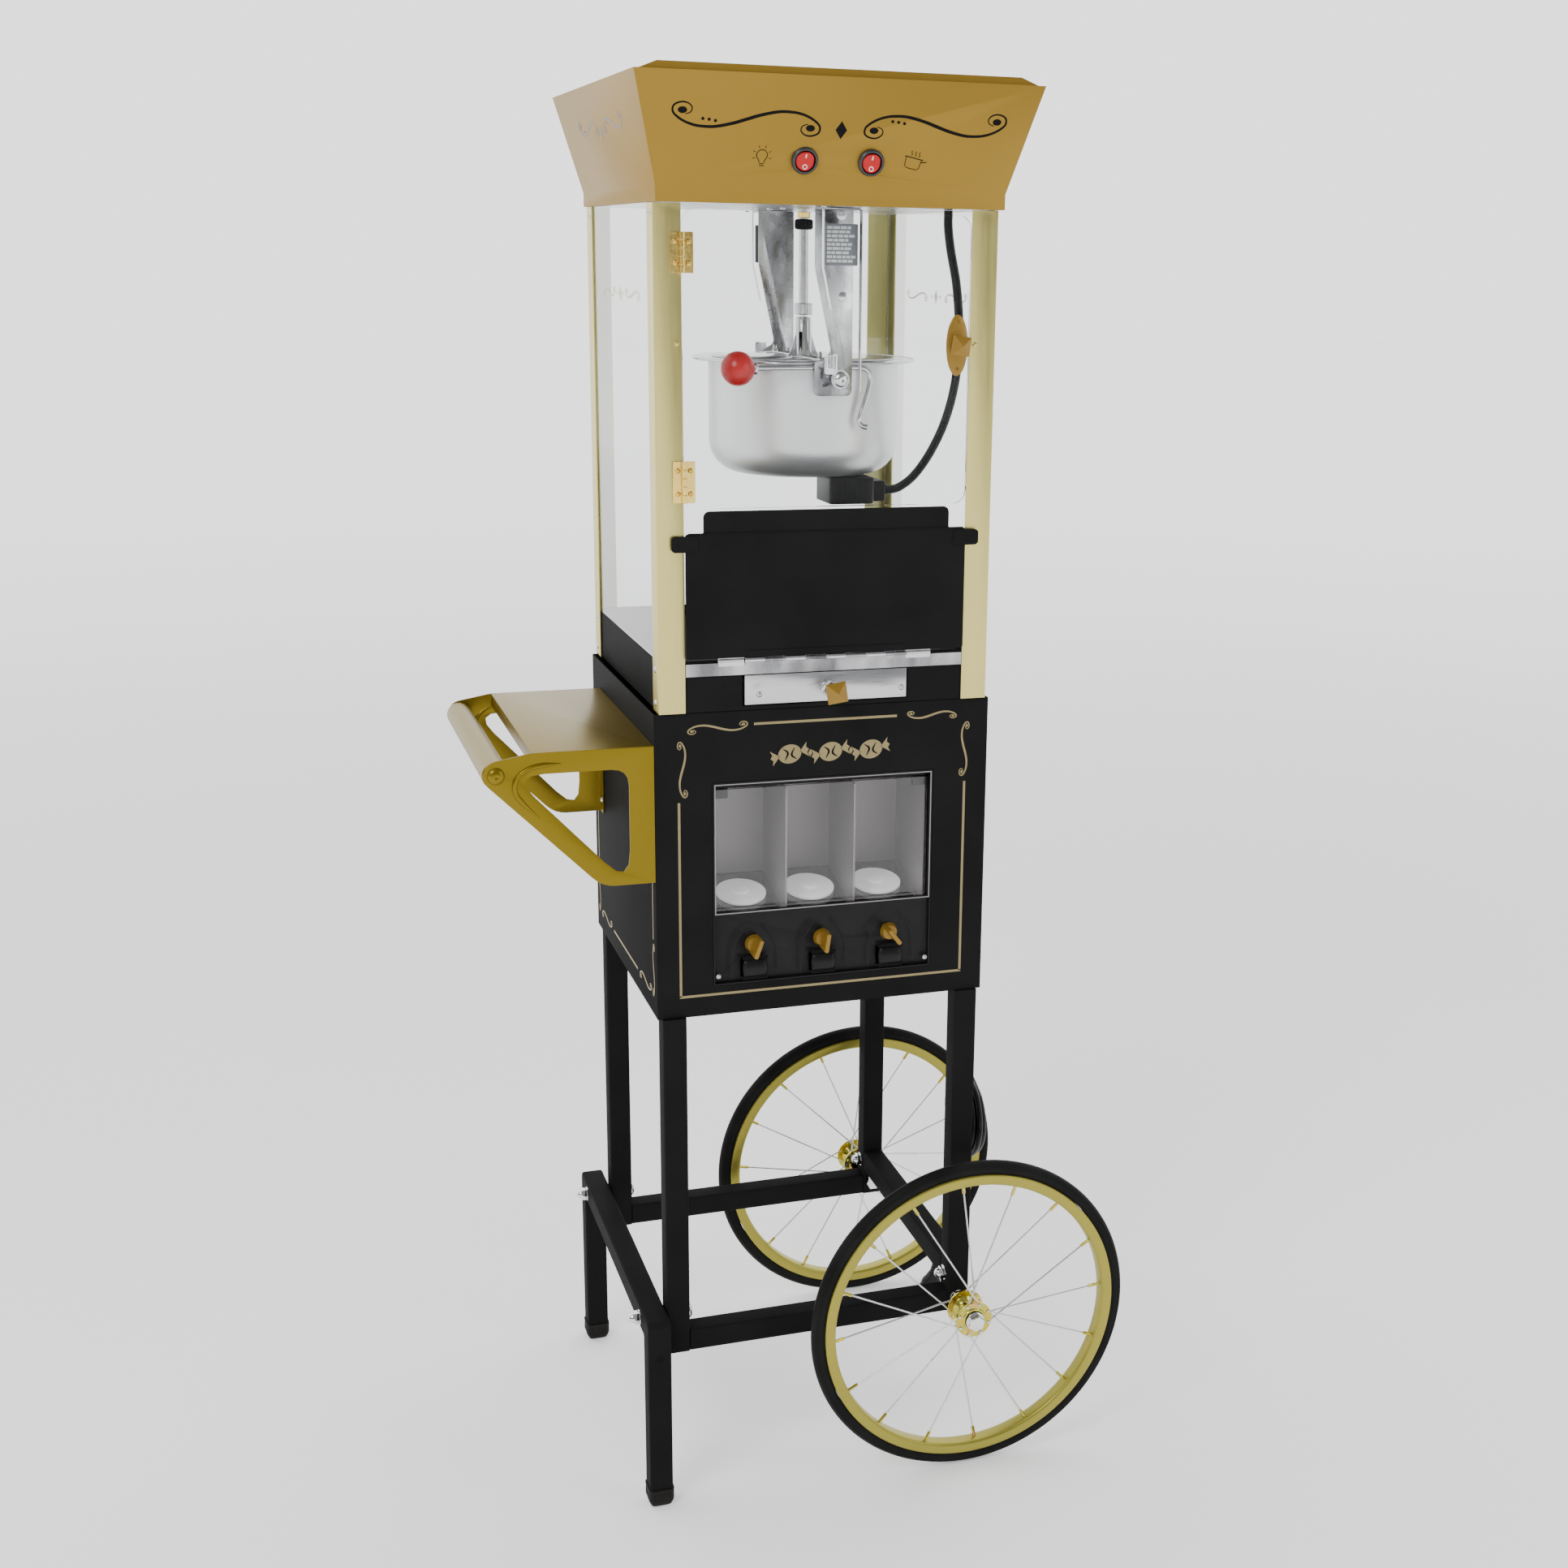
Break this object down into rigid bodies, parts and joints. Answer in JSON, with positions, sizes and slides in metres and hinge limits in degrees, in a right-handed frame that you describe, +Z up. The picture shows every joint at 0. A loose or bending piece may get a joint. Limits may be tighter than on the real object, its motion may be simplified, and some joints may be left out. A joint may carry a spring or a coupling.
{
  "type": "popcorn maker cart",
  "caption": "Glass-sided popcorn maker with a tilting kettle, on a candy-dispensing cabinet and a square-tube cart with spoked wheels, a side shelf and a push bar.",
  "frame": {"origin": "middle of the footprint, on the floor", "axes": "+Z up; -Y towards the user, the side with the door; +X to the user's right, the side with the wheels. The shelf and push bar are on -X."},
  "size_m": [0.6982, 0.479, 1.5],
  "materials": {
    "black_powder_coat": "satin black powder coat, fine orange peel",
    "foot_rubber": "black moulded rubber",
    "tyre_rubber": "black solid rubber tyre, matt",
    "yellow_zinc": "yellow zinc plate, satin, slightly iridescent",
    "bright_steel": "bright plated steel",
    "satin_steel": "satin stainless sheet",
    "aluminium": "spun and brushed aluminium",
    "pale_gold": "pale satin gold paint",
    "canopy_gold": "ochre-gold satin paint",
    "shelf_gold": "olive-gold satin paint",
    "clear_glass": "clear tempered glass",
    "clear_acrylic": "clear acrylic sheet",
    "amber_plastic": "amber-gold moulded plastic",
    "red_plastic": "glossy red moulded plastic",
    "black_plastic": "black moulded plastic",
    "cord_rubber": "black PVC cord jacket"
  },
  "bodies": {
    "cart": {"leg_front_left": "black_powder_coat", "leg_back_left": "black_powder_coat", "leg_front_right": "black_powder_coat", "leg_back_right": "black_powder_coat", "rail_front": "black_powder_coat", "rail_back": "black_powder_coat", "rail_right": "black_powder_coat", "foot_frame": "black_powder_coat", "cabinet_shell": "black_powder_coat", "dispenser_fascia": "black_powder_coat", "machine_base": "black_powder_coat", "foot_cap_front": "foot_rubber", "foot_cap_back": "foot_rubber", "front_axle": "bright_steel", "back_axle": "bright_steel", "hatch_hinge": "bright_steel", "gear_motor": "bright_steel", "ceiling_plate": "satin_steel", "hanger_front": "satin_steel", "hanger_back": "satin_steel", "post_front_left": "pale_gold", "post_front_right": "pale_gold", "post_back_left": "pale_gold", "post_back_right": "pale_gold", "door_hinge_upper": "pale_gold", "door_hinge_lower": "pale_gold", "canopy": "canopy_gold", "side_shelf": "shelf_gold", "push_handle": "shelf_gold", "glass_left": "clear_glass", "glass_right": "clear_glass", "glass_back": "clear_glass", "candy_hopper": "clear_acrylic", "kettle_lead": "cord_rubber", "cord_relief": "cord_rubber", "mains_cord": "cord_rubber", "mains_coil": "cord_rubber", "mains_tail": "cord_rubber", "mains_plug": "cord_rubber"},
    "front_wheel_set": {"front_tyre": "tyre_rubber", "front_wheel": "yellow_zinc"},
    "back_wheel_set": {"back_tyre": "tyre_rubber", "back_wheel": "yellow_zinc"},
    "door": {"front_door": "clear_acrylic", "door_knob": "pale_gold"},
    "hatch": {"serving_hatch": "black_powder_coat"},
    "tray": {"crumb_tray": "satin_steel"},
    "kettle": {"kettle_pot": "aluminium", "kettle_deck": "aluminium", "heater_box": "black_plastic", "dump_handle": "red_plastic"},
    "lid_left": {"kettle_lid_left": "aluminium"},
    "lid_right": {"kettle_lid_right": "aluminium"},
    "shaft": {"drive_shaft": "bright_steel"},
    "stirrer": {"agitator": "bright_steel"},
    "switch_left": {"rocker_left": "red_plastic"},
    "switch_right": {"rocker_right": "red_plastic"},
    "knob_1": {"candy_knob_1": "amber_plastic"},
    "knob_2": {"candy_knob_2": "amber_plastic"},
    "knob_3": {"candy_knob_3": "amber_plastic"}
  },
  "joints": [
    {"name": "front_wheel_spin", "type": "hinge", "parent": "cart", "child": "front_wheel_set", "pos_m": [0.1639, -0.212, 0.1852], "axis": [0, 1, 0], "continuous": true},
    {"name": "back_wheel_spin", "type": "hinge", "parent": "cart", "child": "back_wheel_set", "pos_m": [0.1639, 0.212, 0.1852], "axis": [0, 1, 0], "continuous": true},
    {"name": "door_swing", "type": "hinge", "parent": "cart", "child": "door", "pos_m": [-0.14445, -0.1744, 1.23], "axis": [0, 0, -1], "range_deg": [0, 110]},
    {"name": "hatch_drop", "type": "hinge", "parent": "cart", "child": "hatch", "pos_m": [0.0029, -0.1722, 0.9356], "axis": [1, 0, 0], "range_deg": [0, 90]},
    {"name": "tray_slide", "type": "slide", "parent": "cart", "child": "tray", "axis": [0, -1, 0], "range_m": [0, 0.2]},
    {"name": "kettle_tilt", "type": "hinge", "parent": "cart", "child": "kettle", "pos_m": [0.0254, 0, 1.211], "axis": [0, -1, 0], "range_deg": [0, 45], "deforming": ["kettle_lead"]},
    {"name": "lid_left_flip", "type": "hinge", "parent": "kettle", "child": "lid_left", "pos_m": [0.0124, 0, 1.2269], "axis": [0, 1, 0], "range_deg": [0, 75]},
    {"name": "lid_right_flip", "type": "hinge", "parent": "kettle", "child": "lid_right", "pos_m": [0.0384, 0, 1.2269], "axis": [0, -1, 0], "range_deg": [0, 75]},
    {"name": "shaft_spin", "type": "hinge", "parent": "cart", "child": "shaft", "pos_m": [0.0254, 0, 1.3], "axis": [0, 0, 1], "continuous": true},
    {"name": "stirrer_spin", "type": "hinge", "parent": "kettle", "child": "stirrer", "pos_m": [0.0254, 0, 1.15], "axis": [0, 0, 1], "continuous": true},
    {"name": "switch_left_press", "type": "hinge", "parent": "cart", "child": "switch_left", "pos_m": [-0.0301, -0.1954, 1.418], "axis": [-1, 0, 0], "range_deg": [0, 14]},
    {"name": "switch_right_press", "type": "hinge", "parent": "cart", "child": "switch_right", "pos_m": [0.0359, -0.1954, 1.418], "axis": [-1, 0, 0], "range_deg": [0, 14]},
    {"name": "candy_knob_1_turn", "type": "hinge", "parent": "cart", "child": "knob_1", "pos_m": [-0.0721, -0.161, 0.6293], "axis": [0, 1, 0], "continuous": true},
    {"name": "candy_knob_2_turn", "type": "hinge", "parent": "cart", "child": "knob_2", "pos_m": [0.0029, -0.161, 0.6293], "axis": [0, 1, 0], "continuous": true},
    {"name": "candy_knob_3_turn", "type": "hinge", "parent": "cart", "child": "knob_3", "pos_m": [0.0779, -0.161, 0.6293], "axis": [0, 1, 0], "continuous": true}
  ],
  "couplings": [
    {"joint": "shaft_spin", "follows": "stirrer_spin", "ratio": 1}
  ]
}
